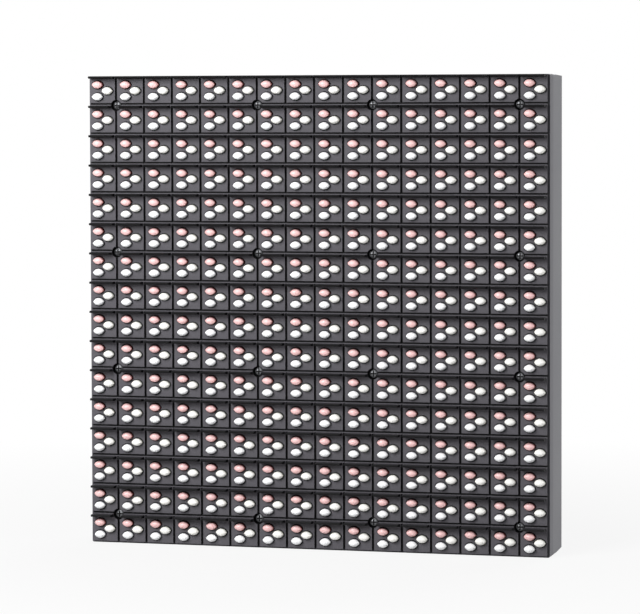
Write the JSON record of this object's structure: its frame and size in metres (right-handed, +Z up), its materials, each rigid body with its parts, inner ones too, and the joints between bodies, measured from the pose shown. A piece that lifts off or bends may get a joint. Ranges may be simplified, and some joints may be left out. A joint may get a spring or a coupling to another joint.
{
  "type": "led display module",
  "caption": "Square outdoor LED display module: louvred charcoal mask with a grid of oval lamps, board, open-backed tray, ribbon headers and power socket.",
  "frame": {"origin": "middle of the bottom edge of the bounding box", "axes": "+Z up, lamps face -Y, +X to the right as seen from the front"},
  "size_m": [0.16, 0.0284, 0.16],
  "materials": {
    "mask_plastic": "fine matt moulding",
    "tray_plastic": "fine matt moulding",
    "blackened_steel": "black oxide",
    "red_lens": "milky resin",
    "green_lens": "milky resin",
    "blue_lens": "milky resin",
    "board_laminate": "green solder mask",
    "seal_rubber": "silicone rubber",
    "insert_brass": "turned brass",
    "header_plastic": "moulded",
    "pin_gold": "gold flash",
    "socket_plastic": "moulded nylon",
    "pin_tin": "bright tin",
    "chip_epoxy": "moulded epoxy",
    "can_sleeve": "sleeved can",
    "ceramic_tan": "fired",
    "resistor_black": "glazed"
  },
  "bodies": {
    "root": {"front_mask": "mask_plastic", "mask_screws": "blackened_steel", "red_lamps": "red_lens", "green_lamps": "green_lens", "blue_lamps": "blue_lens", "circuit_board": "board_laminate", "back_tray": "tray_plastic", "seal_ring": "seal_rubber", "mount_inserts": "insert_brass", "data_in_header": "header_plastic", "data_in_pins": "pin_gold", "data_out_header": "header_plastic", "data_out_pins": "pin_gold", "power_socket": "socket_plastic", "power_pins": "pin_tin", "driver_chips": "chip_epoxy", "driver_chip_leads": "pin_tin", "buffer_chips": "chip_epoxy", "buffer_chip_leads": "pin_tin", "decoder_chip": "chip_epoxy", "decoder_chip_leads": "pin_tin", "row_transistors": "chip_epoxy", "row_transistor_leads": "pin_tin", "bulk_capacitors": "can_sleeve", "bulk_capacitor_bungs": "header_plastic", "ceramic_capacitors": "ceramic_tan", "chip_resistors": "resistor_black", "resistor_arrays": "resistor_black"}
  },
  "joints": []
}
